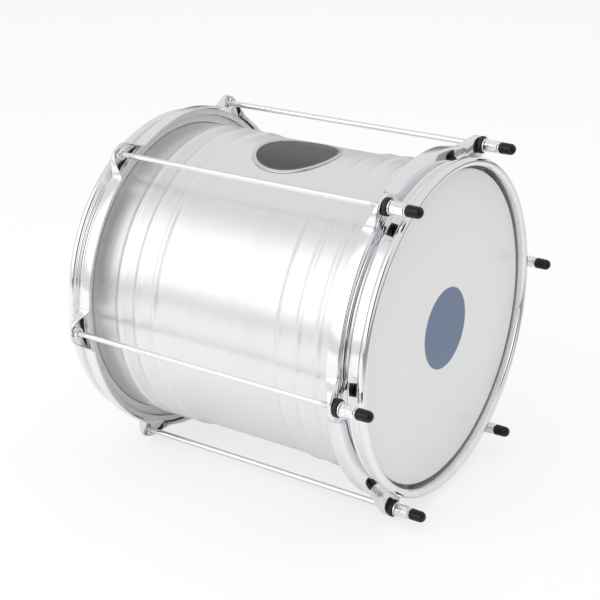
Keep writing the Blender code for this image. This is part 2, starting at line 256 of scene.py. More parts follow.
class DrumStage(bpy.types.PropertyGroup):
    azimuth: FloatProperty(
        name="Azimuth", description="Camera's direction round the drum",
        default=math.radians(-56.19), unit="ROTATION"
    )
    elevation: FloatProperty(
        name="Elevation", description="Camera's height angle",
        default=math.radians(22.33), unit="ROTATION"
    )
    roll: FloatProperty(
        name="Roll", description="Camera's tilt", default=math.radians(-0.45), unit="ROTATION"
    )
    place: FloatVectorProperty(
        name="Place", description="Camera's place",
        subtype="XYZ", unit="LENGTH", default=(-1.0898, -0.716, 0.7009)
    )
    lens: FloatProperty(name="Lens", description="Focal length in millimetres", default=84.7)
    floor_size: FloatProperty(
        name="Floor", description="Width of the floor", default=60.0, unit="LENGTH"
    )
    floor: FloatVectorProperty(
        name="Floor colour", description="Pale", subtype="COLOR", default=(0.86, 0.86, 0.86)
    )


SETTINGS = {
    "drum_shell": DrumShell,
    "drum_hoops": DrumHoops,
    "drum_heads": DrumHeads,
    "drum_hardware": DrumHardware,
    "drum_badge": DrumBadge,
    "drum_stage": DrumStage,
}


def tinted(colour, factor):
    """A colour made lighter or darker."""
    return tuple(min(channel * factor, 1.0) for channel in colour)


class Flow:
    """A number or vector on its way through a material's nodes, written in sums."""

    def __init__(self, graph, socket):
        self.graph = graph
        self.socket = socket

    def math(self, operation, first, second=0.0):
        return self.graph.node("ShaderNodeMath", {"operation": operation}, {0: first, 1: second})

    def __add__(self, other):
        return self.math("ADD", self, other)

    __radd__ = __add__

    def __sub__(self, other):
        return self.math("SUBTRACT", self, other)

    def __rsub__(self, other):
        return self.math("SUBTRACT", other, self)

    def __mul__(self, other):
        return self.math("MULTIPLY", self, other)

    __rmul__ = __mul__

    def __pow__(self, other):
        return self.math("POWER", self, other)

    def __abs__(self):
        return self.math("ABSOLUTE", self)

    def turn_from(self, other):
        """Angle of the point (self, other), measured from the second one's axis."""
        return self.math("ARCTAN2", self, other)


class Graph:
    """A node tree, with one way to add any node and the few that the finishes share."""

    def __init__(self, tree):
        self.tree = tree

    def feed(self, socket, value):
        if isinstance(value, Flow):
            self.tree.links.new(value.socket, socket)
        elif socket.type == "RGBA" and len(value) == 3:
            socket.default_value = (*value, 1.0)
        else:
            socket.default_value = value

    def node(self, kind, settings=None, values=None, output=0):
        """A new node: its settings first, then the values or links of its sockets."""
        made = self.tree.nodes.new(kind)
        for key, value in (settings or {}).items():
            setattr(made, key, value)
        for key, value in (values or {}).items():
            self.feed(made.inputs[key], value)
        return Flow(self, made.outputs[output])

    def noise(self, vector, scale=1.0, detail=2.0, roughness=0.5):
        values = {"Vector": vector, "Scale": scale, "Detail": detail, "Roughness": roughness}
        return self.node("ShaderNodeTexNoise", {}, values)

    def ease(self, value, low, high, start=0.0, end=1.0):
        """Rises smoothly from start to end while the value goes from low to high."""
        settings = {"interpolation_type": "SMOOTHSTEP"}
        return self.node("ShaderNodeMapRange", settings, {0: value, 1: low, 2: high, 3: start, 4: end})

    def blend(self, factor, first, second):
        return self.node("ShaderNodeMix", {"data_type": "RGBA"}, {0: factor, 6: first, 7: second}, 2)

    def shades(self, factor, colour, first, second):
        """One colour, tinted by the first number at factor 0 and by the second at 1."""
        return self.blend(factor, tinted(colour, first), tinted(colour, second))

    def vector(self, x, y, z=0.0):
        return self.node("ShaderNodeCombineXYZ", {}, {0: x, 1: y, 2: z})

    def parts(self, vector):
        apart = self.node("ShaderNodeSeparateXYZ", {}, {0: vector})
        return [Flow(self, output) for output in apart.socket.node.outputs]

    def cosine(self, vector, direction):
        """Cosine of the angle between two unit vectors."""
        values = {0: vector, 1: direction}
        return self.node("ShaderNodeVectorMath", {"operation": "DOT_PRODUCT"}, values, "Value")

    def light_path(self, kind):
        """1 for rays of a kind, such as Is Camera Ray, and 0 for others."""
        return self.node("ShaderNodeLightPath", output=kind)

    def bump(self, height, strength, distance):
        values = {"Height": height, "Strength": strength, "Distance": distance}
        return self.node("ShaderNodeBump", {}, values)


class Finish(Graph):
    """A material with a Principled shader, and the places on its piece to work from."""

    def __init__(self, name, **constants):
        self.material = bpy.data.materials.new(name)
        self.material.use_nodes = True
        super().__init__(self.material.node_tree)
        self.shader = self.tree.nodes["Principled BSDF"]
        self.set(**constants)
        self.place = self.node("ShaderNodeTexCoord", output="Object")
        self.x, self.y, self.z = self.parts(self.place)

    def off_axis(self):
        """Distance from the piece's own Y axis."""
        return (self.x * self.x + self.z * self.z) ** 0.5

    def round_axis(self, radius):
        """Distance round the Y axis at a radius, from the top, with its ends meeting underneath."""
        return self.x.turn_from(self.z) * radius

    def set(self, **values):
        """Feeds the shader's sockets, named in lower case with underscores, and returns the material."""
        sockets = {socket.name.lower().replace(" ", "_"): socket for socket in self.shader.inputs}
        for key, value in values.items():
            self.feed(sockets[key], value)
        return self.material


# Finishes. A noise that is fed with a place has its scale in waves per metre.


def brushed_aluminium(settings):
    """Rolled sheet brushed round its girth, with faint handling marks and a weld line underneath.

    The shell stands on its own Z axis, so that its gloss stretches along the drum, across the brushing.
    """
    f = Finish("brushed_aluminium", metallic=1.0, anisotropic=0.9, anisotropic_rotation=0.25)
    girth = f.x.turn_from(f.y * -1.0) * settings.radius
    seam = math.pi * settings.radius
    streaks = f.noise(f.vector(girth * 5.0, f.z * 1500.0), 1.0, 5.0, 0.62)
    hairs = f.noise(f.vector(girth * 22.0, f.z * 5200.0), 1.0, 2.0)
    bands = f.noise(f.vector(girth * 3.0, f.z * 300.0, 5.0), 1.0, 4.0, 0.55)
    waves = f.noise(f.place, 7.0, 1.0)
    handling = f.noise(f.vector(girth * 9.0, f.z * 16.0, 3.0), 1.0, 6.0, 0.6)
    marks = f.ease(handling, 0.52, 0.70)
    weld = f.ease(abs(girth), seam - 0.0022, seam - 0.0008)
    colour = f.shades((streaks + bands) * 0.5, settings.colour, 0.90, 1.09)
    colour = f.blend(weld * 0.6, colour, tinted(settings.colour, 0.62))
    rough = 0.36 + (streaks - 0.5) * 0.14 + (bands - 0.5) * 0.16 + (hairs - 0.5) * 0.04
    rough = rough + marks * 0.04 + weld * 0.1
    height = streaks * 0.4 + hairs * 0.2 + waves * 1.6 + weld * 3.0
    return f.set(base_color=colour, roughness=rough, normal=f.bump(height, 0.30, 0.0001))


def chrome(name, colour, rough):
    """Bright plate over pressed metal: a little uneven, with wiped smears and hair scratches."""
    f = Finish(name, metallic=1.0)
    smears = f.noise(f.place, 34.0, 5.0, 0.62)
    swelling = f.noise(f.place, 40.0, 1.0)
    scratch = f.noise(f.vector(f.x * 900.0, f.y * 120.0, f.z * 900.0), 1.0, 2.0)
    haze = f.ease(smears, 0.5, 0.72)
    tone = f.shades(haze, colour, 1.0, 0.95)
    roughness = rough + haze * 0.03 + f.ease(scratch, 0.62, 0.7) * 0.03
    return f.set(base_color=tone, roughness=roughness, normal=f.bump(swelling, 0.10, 0.0002))


def milky_film(name, settings, printed):
    """Milky polyester film with a faint spun haze, and on the played side a plain printed disc."""
    f = Finish(name, ior=1.5)
    cloud = f.noise(f.place, 14.0, 4.0, 0.55)
    grain = f.noise(f.place, 1900.0, 2.0)
    tone = f.shades(cloud, settings.colour, 0.975, 1.02)
    rough = 0.33 + (cloud - 0.5) * 0.10
    height = grain
    if printed:
        edge = settings.disc_radius
        bleed = 0.00015
        ink = 1.0 - f.ease(f.off_axis(), edge - bleed, edge + bleed)
        pores = f.ease(f.noise(f.place, 2600.0, 2.0), 0.60, 0.72)
        blue = f.shades(f.noise(f.place, 60.0, 3.0), settings.disc_colour, 0.93, 1.08)
        tone = f.blend(ink * (1.0 - pores * 0.12), tone, blue)
        rough = rough + ink * 0.05
        height = grain + ink * 1.5
    return f.set(base_color=tone, roughness=rough, normal=f.bump(height, 0.10, 0.00004))


def mill_metal(name, colour):
    """Plain rolled strip, dull and streaky."""
    f = Finish(name, metallic=1.0)
    streaks = f.noise(f.vector(f.round_axis(1.0) * 1.55, f.y * 900.0), 1.0, 4.0)
    spots = f.ease(f.noise(f.place, 120.0, 4.0), 0.55, 0.7)
    tone = f.shades(streaks, colour, 0.85, 1.1)
    return f.set(base_color=tone, roughness=0.42 + spots * 0.15, normal=f.bump(streaks, 0.25, 0.0001))


def drawn_steel(settings):
    """Plated round bar with drawing lines along it."""
    f = Finish("plated_rod", metallic=1.0)
    lines = f.noise(f.vector(f.round_axis(1.0) * 9.0, f.y * 26.0), 1.0, 4.0)
    smears = f.ease(f.noise(f.place, 160.0, 3.0), 0.5, 0.75)
    tone = f.shades(smears, settings.steel, 1.0, 0.93)
    roughness = 0.10 + (lines - 0.5) * 0.07 + smears * 0.05
    return f.set(base_color=tone, roughness=roughness, normal=f.bump(lines, 0.15, 0.00008))


def zinc_plate(name, colour, length):
    """Bright zinc with turning marks on its ends and milling marks across its flats."""
    f = Finish(name, metallic=1.0)
    rings = f.noise(f.vector(f.off_axis() * 5200.0, 0.0), 1.0, 2.0)
    milling = f.noise(f.vector(f.round_axis(1.0) * 2.0, f.y * 3800.0), 1.0, 3.0)
    end = length / 2
    at_ends = f.ease(abs(f.y), end - 0.0012, end - 0.0008)
    marks = milling * (1.0 - at_ends) + rings * at_ends
    spots = f.ease(f.noise(f.place, 330.0, 5.0), 0.50, 0.66)
    tone = f.shades(spots, colour, 1.08, 0.86)
    roughness = 0.13 + (marks - 0.5) * 0.12 + spots * 0.12
    return f.set(base_color=tone, roughness=roughness, normal=f.bump(marks, 0.25, 0.00008))


def black_vinyl(settings):
    """Dipped vinyl: smooth and glossy, with a soft orange peel and a few dull rubs."""
    f = Finish("black_vinyl", ior=1.4)
    peel = f.noise(f.place, 520.0, 2.0)
    rubs = f.ease(f.noise(f.place, 260.0, 5.0, 0.65), 0.56, 0.70)
    tone = f.shades(rubs, settings.black, 1.0, 1.8)
    return f.set(base_color=tone, roughness=0.15 + rubs * 0.16, normal=f.bump(peel, 0.18, 0.00025))


def black_rubber():
    """Moulded rubber: dull and fine grained, with dust in its pores."""
    f = Finish("black_rubber", ior=1.45)
    grain = f.noise(f.place, 1500.0, 3.0)
    dust = f.ease(f.noise(f.place, 480.0, 4.0, 0.6), 0.55, 0.75)
    tone = f.blend(dust, (0.010, 0.010, 0.010), (0.030, 0.030, 0.029))
    return f.set(base_color=tone, roughness=0.45 + dust * 0.2, normal=f.bump(grain, 0.3, 0.00012))


def enamelled_plate(settings):
    """Dark enamel field in a bare, polished border. The piece's origin is at the badge's centre."""
    f = Finish("enamelled_plate")
    inner = settings.radius - settings.border
    bare = f.ease(f.off_axis(), inner - 0.0001, inner + 0.00025)
    cloud = f.noise(f.place, 70.0, 4.0)
    brushed = f.noise(f.vector(f.x * 400.0, f.z * 6000.0), 1.0, 3.0)
    enamel = f.shades(cloud, settings.field, 0.85, 1.15)
    metal = f.shades(brushed, settings.metal, 0.9, 1.08)
    tone = f.blend(bare, enamel, metal)
    rough = 0.30 + (cloud - 0.5) * 0.08 - bare * 0.06 + (brushed - 0.5) * bare * 0.12
    height = cloud * (1.0 - bare) * 2.0 + brushed * bare
    normal = f.bump(height, 0.15, 0.0001)
    return f.set(base_color=tone, metallic=bare * 0.95 + 0.03, roughness=rough, normal=normal)


def rounded(corners, steps=4, ring=True):
    """Outline of (radius, y) points through corners given as (radius, y, fillet)."""
    outline = []
    last = len(corners) - 1
    for i, (radius, y, fillet) in enumerate(corners):
        corner = Vector((radius, y))
        if not fillet or (not ring and i in (0, last)):
            outline.append(corner)
            continue
        back = (Vector(corners[i - 1][:2]) - corner).normalized()
        on = (Vector(corners[(i + 1) % len(corners)][:2]) - corner).normalized()
        half = back.angle(on) / 2
        centre = corner + (back + on).normalized() * fillet / math.sin(half)
        start = corner + back * fillet / math.tan(half) - centre
        end = corner + on * fillet / math.tan(half) - centre
        first = math.atan2(start.y, start.x)
        turn = (math.atan2(end.y, end.x) - first + math.pi) % math.tau - math.pi
        for step in range(steps + 1):
            angle = first + turn * step / steps
            outline.append(centre + fillet * Vector((math.cos(angle), math.sin(angle))))
    return outline


def loop(y, radii):
    """Points round the Y axis at one y, one for each radius."""
    turns = [math.tau * step / len(radii) for step in range(len(radii))]
    return [(radius * math.cos(turn), y, radius * math.sin(turn)) for radius, turn in zip(radii, turns)]


def mesh_from_rows(name, rows, closed_rows=True, joined=True, sharp=35.0):
    """Faces between rows of points. Rows close on themselves, and the last joins the first where joined."""
    bm = bmesh.new()
    verts = [[bm.verts.new(point) for point in row] for row in rows]
    pairs = list(zip(verts, verts[1:]))
    if joined:
        pairs.append((verts[-1], verts[0]))
    for row, after in pairs:
        count = len(row) if closed_rows else len(row) - 1
        for i in range(count):
            j = (i + 1) % len(row)
            bm.faces.new((row[i], row[j], after[j], after[i]))
    return tidy_mesh(bm, name, sharp)


def tidy_mesh(bm, name, sharp):
    """Merges points that meet, drops empty faces, faces the rest outward and smooths the round ones."""
    bmesh.ops.remove_doubles(bm, verts=bm.verts, dist=1e-7)
    bmesh.ops.dissolve_degenerate(bm, edges=bm.edges, dist=1e-8)
    bmesh.ops.recalc_face_normals(bm, faces=bm.faces)
    mesh = bpy.data.meshes.new(name)
    bm.to_mesh(mesh)
    bm.free()
    mesh.shade_smooth()
    mesh.set_sharp_from_angle(angle=math.radians(sharp))
    return mesh


def revolved(name, outline, steps, ring=True, sharp=35.0):
    """An outline of (radius, y) turned round the Y axis."""
    rows = []
    for step in range(steps):
        angle = math.tau * step / steps
        rows.append([(radius * math.cos(angle), y, radius * math.sin(angle)) for radius, y in outline])
    return mesh_from_rows(name, rows, closed_rows=ring, sharp=sharp)


def add_piece(name, mesh, finish, body, node, place=DRUM):
    """A finished piece that rides on a body and stands for one construction node."""
    piece = bpy.data.objects.new(name, mesh)
    bpy.context.scene.collection.objects.link(piece)
    piece.matrix_world = place
    if not mesh.materials:
        mesh.materials.append(finish)
    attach(piece, body)
    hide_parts(node)
    return piece


def facing(end):
    """The drum's middle, upright, and turned round for the rear end, for pieces made for the front."""
    return Matrix.Translation(AXIS_POINT) @ Matrix.Rotation(0.0 if end == "front" else math.pi, 4, "X")


def at_lug(lug, distance):
    """Frame of a rod's axis at a distance in front of the drum's middle, with +X away from the drum."""
    turn = Matrix.Rotation(-lug * LUG_ANGLE, 4, "Y")
    return DRUM @ turn @ Matrix.Translation((ROD_CIRCLE, -distance, 0.0))


def swell(distance, half_width, breadth=1.0):
    """Rounded bump: 1 at distance 0 and 0 from half_width away. More breadth makes its top wider."""
    share = min(abs(distance) / half_width, 1.0)
    return 0.5 + 0.5 * math.cos(math.pi * share ** breadth)


def eased(value, low, high):
    """Smooth rise from 0 at low to 1 at high."""
    share = min(max((value - low) / (high - low), 0.0), 1.0)
    return share * share * (3.0 - 2.0 * share)


def shell_surface(settings, inset):
    """(radius, y) points of half the shell's skin, from the middle to just short of its end."""
    points = []
    plain_end = SHELL_END - 0.002
    first = settings.bead_first
    count = 150
    for step in range(count + 1):
        distance = plain_end * step / count
        wider = eased(distance, first - settings.bead_width, first + settings.bead_width)
        radius = settings.radius - inset + settings.end_rise * wider
        for bead in range(settings.beads):
            bead_middle = first + bead * settings.bead_pitch
            radius += settings.bead_rise * swell(distance - bead_middle, settings.bead_width)
        points.append((radius, distance))
    return points


def shell_mesh(settings):
    """Beaded tube with rolled bearing edges."""
    outer = shell_surface(settings, 0.0)
    inner = shell_surface(settings, settings.wall)
    end_radius = outer[-1][0]
    turn = settings.wall / 2
    lip = []
    lip_steps = 6
    for step in range(lip_steps + 1):
        angle = math.pi * step / lip_steps
        lip.append((end_radius - turn + turn * math.cos(angle), SHELL_END - turn + turn * math.sin(angle)))
    half = outer + lip + inner[::-1]
    mirrored = [(radius, -y) for radius, y in reversed(half)][1:-1]
    return revolved("beaded_shell", half + mirrored, 256)


def ear_bulge(angle, settings):
    """Share that the skirt is pressed out at an angle from the nearest rod: 1 over it, 0 past the ear."""
    return swell(angle * ROD_CIRCLE, settings.ear_width, breadth=1.45)


def hoop_section(settings, bulge):
    """(radius, depth below the rim) round the pressed sheet. Bulge is 0 in plain skirt and 1 over a rod."""
    sheet = settings.sheet
    inner = settings.wall_inner
    outer = inner + sheet
    rim = settings.rim_radius
    meets_wall = math.acos((outer - inner - rim) / rim)
    section = []
    rim_steps = 20
    for step in range(rim_steps + 1):
        turn = math.pi - (math.pi + meets_wall) * step / rim_steps
        section.append(Vector((inner + rim + rim * math.cos(turn), rim - rim * math.sin(turn))))
    reach = SKIRT_RADIUS + bulge * (EAR_REACH - SKIRT_RADIUS)
    corner = settings.step_depth + (1.0 - bulge) * settings.step_fall
    height = RIM_PLANE - SKIRT_EDGE
    edge = height + bulge * (settings.step_depth + settings.skirt_round + settings.ear_hang - height)
    fold = 0.0018
    lip = sheet * 0.3
    room = 0.98
    inside = min(settings.skirt_round - sheet * 0.6, edge - corner - sheet - lip)
    corners = [
        (section[-1].x, section[-1].y, 0.0),
        (outer, settings.step_depth, fold),
        (reach, corner, settings.skirt_round * room),
        (reach, edge, lip),
        (reach - sheet, edge, lip),
        (reach - sheet, corner + sheet, inside * room),
        (inner, settings.step_depth + sheet, fold + sheet),
        (inner, rim, 0.0),
    ]
    return section + rounded(corners, 5, ring=False)[1:-1]


def hoop_angles(settings):
    """Angles round the drum, close together where an ear rises and wider elsewhere."""
    root = settings.ear_width / ROD_CIRCLE
    half_steps = 16
    ear = [root * step / half_steps for step in range(-half_steps, half_steps + 1)]
    plain = LUG_ANGLE - 2 * root
    plain_steps = 26
    ear += [root + plain * step / plain_steps for step in range(1, plain_steps)]
    return [lug * LUG_ANGLE + angle for lug in range(LUGS) for angle in ear]


def hoop_mesh(settings, hole, first_ear):
    """Pressed hoop of the front end, with its ears drilled for the rods, and its first ear at an angle."""
    rows = []
    for angle in hoop_angles(settings):
        nearest = round(angle / LUG_ANGLE) * LUG_ANGLE
        section = hoop_section(settings, ear_bulge(angle - nearest, settings))
        along, up = math.cos(angle + first_ear), math.sin(angle + first_ear)
        rows.append([(p.x * along, p.y - RIM_PLANE, p.x * up) for p in section])
    whole = bpy.data.objects.new("whole_hoop", mesh_from_rows("pressed_hoop", rows, sharp=60.0))
    bpy.context.scene.collection.objects.link(whole)
    drills = []
    drill_length = 0.02
    for lug in range(LUGS):
        pin = bmesh.new()
        bmesh.ops.create_cone(
            pin, cap_ends=True, segments=24, radius1=hole, radius2=hole, depth=drill_length
        )
        mesh = bpy.data.meshes.new("drill")
        pin.to_mesh(mesh)
        pin.free()
        turn = Matrix.Rotation(-lug * LUG_ANGLE - first_ear, 4, "Y")
        place = turn @ Matrix.Translation((ROD_CIRCLE, -EAR_FACE, 0.0))
        mesh.transform(place @ Matrix.Rotation(math.pi / 2, 4, "X"))
        drill = bpy.data.objects.new("drill", mesh)
        bpy.context.scene.collection.objects.link(drill)
        cut = whole.modifiers.new("rod_hole", "BOOLEAN")
        cut.operation = "DIFFERENCE"
        cut.solver = "EXACT"
        cut.object = drill
        drills.append(drill)
    shaped = whole.evaluated_get(bpy.context.evaluated_depsgraph_get())
    mesh = bpy.data.meshes.new_from_object(shaped)
    for helper in [whole] + drills:
        bpy.data.objects.remove(helper)
    mesh.shade_smooth()
    mesh.set_sharp_from_angle(angle=math.radians(50))
    return mesh


def head_mesh(settings, shell):
    """Film cup of the front end: flat over the bearing edge, with a collar and a flange out to its ring."""
    film = settings.film
    outer = shell.radius + shell.end_rise + SEAT_GAP + film
    inner = outer - film
    flange = RING_INNER - settings.flange_gap
    end = FILM_END + film
    bend = 0.0016
    corners = [
        (0.0, -FILM_FACE, 0.0),
        (outer * 0.5, -FILM_FACE, 0.0),
        (outer, -FILM_FACE, settings.edge_round),
        (outer, -end, bend - film),
        (flange, -end, 0.0),
        (flange, -FILM_END, 0.0),
        (inner, -FILM_END, bend),
        (inner, -FILM_FACE + film, settings.edge_round - film),
        (0.0, -FILM_FACE + film, 0.0),
    ]
    return revolved("film_cup", rounded(corners, 6, ring=False), 256, ring=False)


def flesh_mesh():
    """Ring that the film is drawn to, under the front hoop, with its top sloped along the step."""
    near, far = reach_of("front_flesh_hoop")
    corners = [
        (RING_INNER, -far, 0.0006),
        (RING_OUTER, -far + (RING_OUTER - RING_INNER) * STEP_SLOPE, 0.0006),
        (RING_OUTER, -near, 0.0007),
        (RING_INNER, -near, 0.0007),
    ]
    return revolved("flesh_ring", rounded(corners, 3), 200)


def thread_wave(phase):
    """Height of a rounded thread at a phase of its pitch."""
    phase -= math.floor(phase)
    return min(max(2.0 - 4.0 * abs(phase - 0.5), 0.12), 0.9)


def rod_mesh(settings):
    """Round bar with rolled threads at both ends and a low button head behind the rear ear."""
    radius = settings.rod_diameter / 2
    pitch = settings.thread_pitch
    near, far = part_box("tension_rod_1")
    front, back = near.y - AXIS_POINT.y, far.y - AXIS_POINT.y
    head_seat = EAR_FACE + SEAT_GAP
    thread_front = -(EAR_FACE - 0.014)
    thread_back = EAR_FACE - 0.016
    thread_depth = 0.00045
    runout = 0.0006
    sides, rows_per_turn, plain_rows, dome_rows = 24, 6, 24, 8

    front_rows = int((thread_front - front) / pitch * rows_per_turn)
    back_rows = int((head_seat - thread_back) / pitch * rows_per_turn)
    stops = [front + pitch / rows_per_turn * step for step in range(front_rows)]
    plain = thread_back - thread_front
    stops += [thread_front + plain * step / plain_rows for step in range(plain_rows + 1)]
    stops += [thread_back + pitch / rows_per_turn * step for step in range(1, back_rows + 1)]

    rows = [loop(front, [0.0] * sides)]
    for y in stops:
        rolled = max(eased(thread_front - y, 0.0, runout), eased(y - thread_back, 0.0, runout))
        chamfered = min((y - front) * 0.8 + radius * 0.72, radius)
        waves = [thread_wave(y / pitch - step / sides) for step in range(sides)]
        rows.append(loop(y, [chamfered - rolled * thread_depth * (1.0 - wave) for wave in waves]))

    head = settings.head_diameter / 2
    brim = head_seat + 0.0009
    button = [(radius, head_seat), (head * 0.93, head_seat), (head, head_seat + 0.0004)]
    for step in range(dome_rows + 1):
        lift = math.pi / 2 * step / dome_rows
        button.append((head * math.cos(lift), brim + (back - brim) * math.sin(lift)))
    rows += [loop(y, [around] * sides) for around, y in button]
    return mesh_from_rows("tension_bar", rows, joined=False, sharp=50.0)


def hexagon_radius(angle, across_flats):
    """Radius of a hexagon with slightly rounded corners, at an angle from the middle of a flat."""
    off_flat = (angle + math.radians(30)) % math.radians(60) - math.radians(30)
    corner = across_flats / 2 / math.cos(math.radians(30))
    return min(across_flats / 2 / math.cos(off_flat), corner * 0.975)


def nut_mesh(name, across_flats, length, bore, shoulder):
    """Hexagon nut centred on the origin along Y, with chamfers, a countersink and a round shoulder."""
    half = length / 2
    face = across_flats / 2 * 0.94
    slope = 1.9
    sides = 96
    fine, fine_rows = 0.0001, 15
    sink = 0.0005
    low_rows = [-half + shoulder + fine * step for step in range(fine_rows)]
    high_rows = [half - fine * step for step in reversed(range(fine_rows))]
    rows = []
    for y in low_rows + high_rows:
        cone = face + min(y + half - shoulder, half - y) * slope
        turns = [math.tau * step / sides for step in range(sides)]
        rows.append(loop(y, [min(hexagon_radius(turn, across_flats), cone) for turn in turns]))
    ends = [(bore + sink, half), (bore, half - sink), (bore, -half + sink), (bore + sink, -half)]
    if shoulder:
        neck = across_flats / 2 * 0.86
        edge = 0.0003
        ends += [(neck - edge, -half), (neck, -half + edge), (neck, -half + shoulder)]
    rows += [loop(y, [around] * sides) for around, y in ends]
    return mesh_from_rows(name, rows, sharp=28.0)


def washer_mesh(name, diameter, thickness, bore, fillet):
    """Ring centred on the origin along Y, with rounded edges."""
    half = thickness / 2
    outer = diameter / 2
    corners = [(bore, half, fillet), (outer, half, fillet), (outer, -half, fillet), (bore, -half, fillet)]
    return revolved(name, rounded(corners, 4), 72)


def cap_mesh(diameter, length, bore, wall):
    """Dipped cap from y = 0 down to its domed tip, with a soft rolled mouth."""
    outer = diameter / 2
    lip = (outer - bore) * 0.45
    floor = -length + wall
    tip_rows = 12
    tip = [(0.0, -length)]
    for step in range(1, tip_rows + 1):
        lift = math.pi / 2 * (1.0 - step / tip_rows)
        around = outer * 0.97 * math.cos(lift) ** 0.82
        tip.append((around, -length + outer * 0.95 * (1.0 - math.sin(lift))))
    corners = [(*tip[-1], 0.0), (outer, 0.0, lip), (bore, 0.0, lip)]
    corners += [(bore, floor, 0.0008), (0.0, floor, 0.0)]
    body = rounded(corners, 5, ring=False)[1:]
    return revolved("dipped_cap", tip + [tuple(p) for p in body], 64, ring=False)


def badge_mesh(settings, shell, thickness):
    """Round plate bent to the shell: a shallow field, a raised border and a turned-down edge."""
    inner = settings.radius - settings.border
    dish = 0.0004
    edge = 0.0009
    field_rows, edge_rows, spokes = 10, 5, 96
    outline = [(inner * step / field_rows, thickness - dish) for step in range(1, field_rows + 1)]
    outline += [(inner + 0.00018, thickness - 0.00032), (inner + 0.0004, thickness - 0.0001)]
    outline += [(inner + 0.0008, thickness), (settings.radius - edge, thickness)]
    for step in range(1, edge_rows + 1):
        turn = math.pi / 2 * step / edge_rows
        away = settings.radius - edge + edge * math.sin(turn)
        outline.append((away, thickness - edge + edge * math.cos(turn)))
    outline += [(settings.radius - 0.0004, 0.0), (settings.radius * 0.6, 0.0), (settings.radius * 0.2, 0.0)]
    rows = []
    for away, height in outline:
        row = []
        for step in range(spokes):
            turn = math.tau * step / spokes
            along, around = away * math.cos(turn), away * math.sin(turn)
            angle = around / shell.radius
            radius = shell.radius + SEAT_GAP + height
            row.append((along, radius * math.cos(angle) - shell.radius, radius * math.sin(angle)))
        rows.append(row)
    top = [(0.0, SEAT_GAP + outline[0][1], 0.0)] * spokes
    under = [(0.0, SEAT_GAP, 0.0)] * spokes
    return mesh_from_rows("badge_plate", [top] + rows + [under], joined=False)


class DRUM_OT_shell(bpy.types.Operator):
    """Builds the beaded shell"""

    bl_idname = "drum.shell"
    bl_label = "Shell"

    def execute(self, context):
        settings = context.scene.drum_shell
        mesh = shell_mesh(settings)
        upright = Matrix.Rotation(math.pi / 2, 4, "X")
        mesh.transform(upright)
        finish = brushed_aluminium(settings)
        place = DRUM @ upright.inverted()
        add_piece("beaded_shell", mesh, finish, "drum", "shell", place)
        return {"FINISHED"}


class DRUM_OT_badge(bpy.types.Operator):
    """Builds the badge in the middle of the shell, between the two upper rods"""

    bl_idname = "drum.badge"
    bl_label = "Badge"

    def execute(self, context):
        settings = context.scene.drum_badge
        shell = context.scene.drum_shell
        outward = Matrix(((0, 1, 0, 0), (1, 0, 0, 0), (0, 0, 1, 0), (0, 0, 0, 1)))
        place = DRUM @ Matrix.Rotation(-1.5 * LUG_ANGLE, 4, "Y")
        place = place @ Matrix.Translation((shell.radius, 0.0, 0.0)) @ outward
        mesh = badge_mesh(settings, shell, thickness=0.0009)
        # The frame above is mirrored, so the faces are turned to look outward in it
        mesh.flip_normals()
        add_piece("badge_plate", mesh, enamelled_plate(settings), "drum", "badge", place)
        return {"FINISHED"}


class DRUM_OT_heads(bpy.types.Operator):
    """Builds both film heads and the rings that hold them"""

    bl_idname = "drum.heads"
    bl_label = "Heads"

    def execute(self, context):
        settings = context.scene.drum_heads
        strip = mill_metal("flesh_strip", (0.80, 0.80, 0.77))
        ring = flesh_mesh()
        for end in ("front", "rear"):
            played = end == "front"
            film = milky_film(f"{end}_film", settings, played)
            body = "front_rim" if played else "drum"
            cup = head_mesh(settings, context.scene.drum_shell)
            place = facing(end)
            add_piece(f"{end}_film", cup, film, "drum", f"{end}_head", place)
            add_piece(f"{end}_ring", ring, strip, body, f"{end}_flesh_hoop", place)
        return {"FINISHED"}


class DRUM_OT_hoops(bpy.types.Operator):
    """Builds the two pressed hoops with their ears"""

    bl_idname = "drum.hoops"
    bl_label = "Hoops"

    def execute(self, context):
        settings = context.scene.drum_hoops
        plate = chrome("hoop_chrome", settings.colour, 0.03)
        hole = context.scene.drum_hardware.rod_diameter / 2 + 0.0005
        front = hoop_mesh(settings, hole, LUG_TURN)
        add_piece("front_pressing", front, plate, "front_rim", "front_hoop", facing("front"))
        rear = hoop_mesh(settings, hole, -LUG_TURN)
        add_piece("rear_pressing", rear, plate, "drum", "rear_hoop", facing("rear"))
        return {"FINISHED"}


class DRUM_OT_rods(bpy.types.Operator):
    """Builds the tension rods and the lock nuts in the rear ears"""

    bl_idname = "drum.rods"
    bl_label = "Rods"

    def execute(self, context):
        settings = context.scene.drum_hardware
        bore = settings.rod_diameter / 2 + SEAT_GAP
        bar = rod_mesh(settings)
        low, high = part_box("lock_nut_1")
        lock = nut_mesh("hexagon_lock_nut", settings.lock_flats, high.y - low.y, bore, 0.0)
        steel = drawn_steel(settings)
        zinc = zinc_plate("lock_nut_zinc", settings.steel, high.y - low.y)
        seat = AXIS_POINT.y - (low.y + high.y) / 2
        parts = (
            ("tension_rod", "tension_bar", bar, steel, "rod_steel", 0.0),
            ("lock_nut", "hexagon_lock_nut", lock, zinc, "nut_steel", seat),
        )
        for lug in range(LUGS):
            for node, name, mesh, finish, slot, distance in parts:
                place = at_lug(lug, distance)
                add_piece(f"{name}_{lug + 1}", mesh, finish, "drum", f"{node}_{lug + 1}", place)
        return {"FINISHED"}


